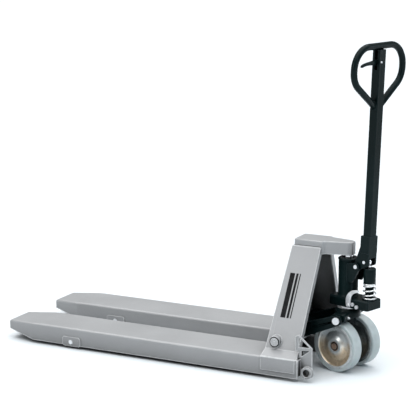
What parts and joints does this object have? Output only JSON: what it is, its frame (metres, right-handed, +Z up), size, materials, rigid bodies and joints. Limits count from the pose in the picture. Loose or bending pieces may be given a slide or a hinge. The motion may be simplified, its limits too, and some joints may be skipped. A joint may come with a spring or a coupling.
{
  "type": "hand pallet truck",
  "caption": "Hand pallet truck with two tapered forks, leaning A-frame, hydraulic pump on twin steer wheels and a tall loop handle.",
  "frame": {"origin": "on the floor, under the middle of the bounding box", "axes": "+X from the fork tips to the handle, +Y to the operator's right, +Z up"},
  "size_m": [1.5676, 0.551, 1.2654],
  "materials": {
    "frame_paint": "satin silver-grey enamel",
    "black_paint": "gloss black enamel",
    "zinc_steel": "bright zinc plate",
    "chrome": "ground and chromed",
    "bronze_steel": "oiled bronze-brown",
    "spring_steel": "bright zinc plate",
    "seal_rubber": "matt",
    "wheel_zinc": "yellow-passivated zinc plate",
    "tread_nylon": "light grey nylon"
  },
  "bodies": {
    "frame": {"fork_left": "frame_paint", "fork_right": "frame_paint", "axle_plates": "frame_paint", "carriage_axles": "zinc_steel", "side_panel_left": "frame_paint", "side_panel_right": "frame_paint", "backrest_plate": "frame_paint", "cross_channel": "frame_paint", "head": "frame_paint", "pivot_bosses": "frame_paint", "side_plates": "frame_paint", "lashing_rings": "frame_paint", "tail_brackets": "frame_paint"},
    "rocker": {"torsion_tube": "black_paint", "rocker_arm_left": "black_paint", "rocker_arm_right": "black_paint", "lift_lugs": "black_paint", "lug_pins": "zinc_steel", "pivot_shaft": "zinc_steel"},
    "carrier": {"steering_carrier": "black_paint", "carrier_pins": "zinc_steel", "thrust_bearing": "zinc_steel", "grease_nipple": "zinc_steel"},
    "pump": {"pump_base": "black_paint", "king_post": "black_paint", "lift_cylinder": "black_paint", "cylinder_gland": "black_paint", "dust_seal": "seal_rubber", "handle_bracket": "black_paint", "handle_pin": "zinc_steel", "plunger_barrel": "black_paint", "pump_spring": "spring_steel", "wheel_axle": "bronze_steel", "axle_circlips": "black_paint", "wheel_bearings": "bronze_steel", "valve_screws": "zinc_steel"},
    "ram": {"ram": "chrome"},
    "release_lever": {"release_lever": "zinc_steel"},
    "steer_wheel_left": {"wheel_core_left": "wheel_zinc", "wheel_tread_left": "tread_nylon"},
    "steer_wheel_right": {"wheel_core_right": "wheel_zinc", "wheel_tread_right": "tread_nylon"},
    "plunger": {"plunger_cap": "black_paint", "plunger_button": "chrome", "plunger_rod": "zinc_steel"},
    "handle": {"yoke": "black_paint", "handle_pins": "zinc_steel", "handle_tube": "black_paint", "handle_loop": "black_paint"},
    "press_roller": {"press_roller": "chrome"},
    "control_lever": {"control_lever": "black_paint"},
    "control_rod": {"control_rod": "zinc_steel"},
    "carriage_left": {"carriage_left": "black_paint", "carriage_pins_left": "zinc_steel"},
    "load_roller_left": {"load_roller_left": "tread_nylon"},
    "push_rod_left": {"push_rod_left": "black_paint"},
    "carriage_right": {"carriage_right": "black_paint", "carriage_pins_right": "zinc_steel"},
    "load_roller_right": {"load_roller_right": "tread_nylon"},
    "push_rod_right": {"push_rod_right": "black_paint"}
  },
  "joints": [
    {"name": "lift", "type": "hinge", "parent": "frame", "child": "rocker", "pos_m": [0.4061, 0, 0.134], "axis": [0, 1, 0], "range_deg": [0, 30.9]},
    {"name": "carrier_level", "type": "hinge", "parent": "rocker", "child": "carrier", "pos_m": [0.6081, 0, 0.212], "axis": [0, 1, 0], "range_deg": [-31.4, 0.5]},
    {"name": "steer", "type": "hinge", "parent": "carrier", "child": "pump", "pos_m": [0.6101, 0, 0.25], "axis": [0, 0, 1], "range_deg": [-78.4, 111.6]},
    {"name": "ram_rise", "type": "slide", "parent": "pump", "child": "ram", "axis": [0, 0, 1], "range_m": [-0.0005, 0.1165]},
    {"name": "handle_tilt", "type": "hinge", "parent": "pump", "child": "handle", "pos_m": [0.66664, -0.01686, 0.414], "axis": [0.2857, 0.9583, 0], "range_deg": [0, 50], "stiffness_Nm_per_rad": 26, "springref_deg": -25.78},
    {"name": "plunger_stroke", "type": "slide", "parent": "pump", "child": "plunger", "axis": [0, 0, -1], "range_m": [-0.0002, 0.0345], "deforming": ["pump_spring"]},
    {"name": "press_roller_spin", "type": "hinge", "parent": "handle", "child": "press_roller", "pos_m": [0.69827, -0.02628, 0.4355], "axis": [0.2857, 0.9583, 0], "continuous": true},
    {"name": "release", "type": "hinge", "parent": "pump", "child": "release_lever", "pos_m": [0.63529, -0.05551, 0.266], "axis": [0.2857, 0.9583, 0], "range_deg": [0, 10], "stiffness_Nm_per_rad": 2, "springref_deg": -5.73},
    {"name": "finger_lever", "type": "hinge", "parent": "handle", "child": "control_lever", "pos_m": [0.72807, -0.04456, 1.19545], "axis": [0.9575, -0.2855, -0.0405], "range_deg": [-14, 8], "stiffness_Nm_per_rad": 6},
    {"name": "control_pull", "type": "slide", "parent": "handle", "child": "control_rod", "axis": [0.0388, -0.0116, 0.9992], "range_m": [-0.0025, 0.0025]},
    {"name": "steer_wheel_left_spin", "type": "hinge", "parent": "pump", "child": "steer_wheel_left", "pos_m": [0.59353, -0.05558, 0.1], "axis": [0.2857, 0.9583, 0], "continuous": true},
    {"name": "steer_wheel_right_spin", "type": "hinge", "parent": "pump", "child": "steer_wheel_right", "pos_m": [0.62667, 0.05558, 0.1], "axis": [0.2857, 0.9583, 0], "continuous": true},
    {"name": "carriage_left_swing", "type": "hinge", "parent": "frame", "child": "carriage_left", "pos_m": [-0.4739, -0.177, 0.028], "axis": [0, 1, 0], "range_deg": [-58, 0.5]},
    {"name": "load_roller_left_spin", "type": "hinge", "parent": "carriage_left", "child": "load_roller_left", "pos_m": [-0.6039, -0.177, 0.04], "axis": [0, 1, 0], "continuous": true},
    {"name": "push_rod_left_swing", "type": "hinge", "parent": "carriage_left", "child": "push_rod_left", "pos_m": [-0.45364, -0.177, 0.06513], "axis": [0, 1, 0], "range_deg": [-0.5, 58]},
    {"name": "carriage_right_swing", "type": "hinge", "parent": "frame", "child": "carriage_right", "pos_m": [-0.4739, 0.177, 0.028], "axis": [0, 1, 0], "range_deg": [-58, 0.5]},
    {"name": "load_roller_right_spin", "type": "hinge", "parent": "carriage_right", "child": "load_roller_right", "pos_m": [-0.6039, 0.177, 0.04], "axis": [0, 1, 0], "continuous": true},
    {"name": "push_rod_right_swing", "type": "hinge", "parent": "carriage_right", "child": "push_rod_right", "pos_m": [-0.45364, 0.177, 0.06513], "axis": [0, 1, 0], "range_deg": [-0.5, 58]}
  ],
  "couplings": [
    {"joint": "carrier_level", "follows": "lift", "ratio": -1},
    {"joint": "ram_rise", "follows": "lift", "m_per_rad": 0.21287},
    {"joint": "plunger_stroke", "follows": "handle_tilt", "m_per_rad": 0.0388},
    {"joint": "control_pull", "follows": "finger_lever", "m_per_rad": 0.008},
    {"joint": "carriage_left_swing", "follows": "lift", "ratio": -1.8518},
    {"joint": "push_rod_left_swing", "follows": "lift", "ratio": 1.8518},
    {"joint": "carriage_right_swing", "follows": "lift", "ratio": -1.8518},
    {"joint": "push_rod_right_swing", "follows": "lift", "ratio": 1.8518}
  ]
}
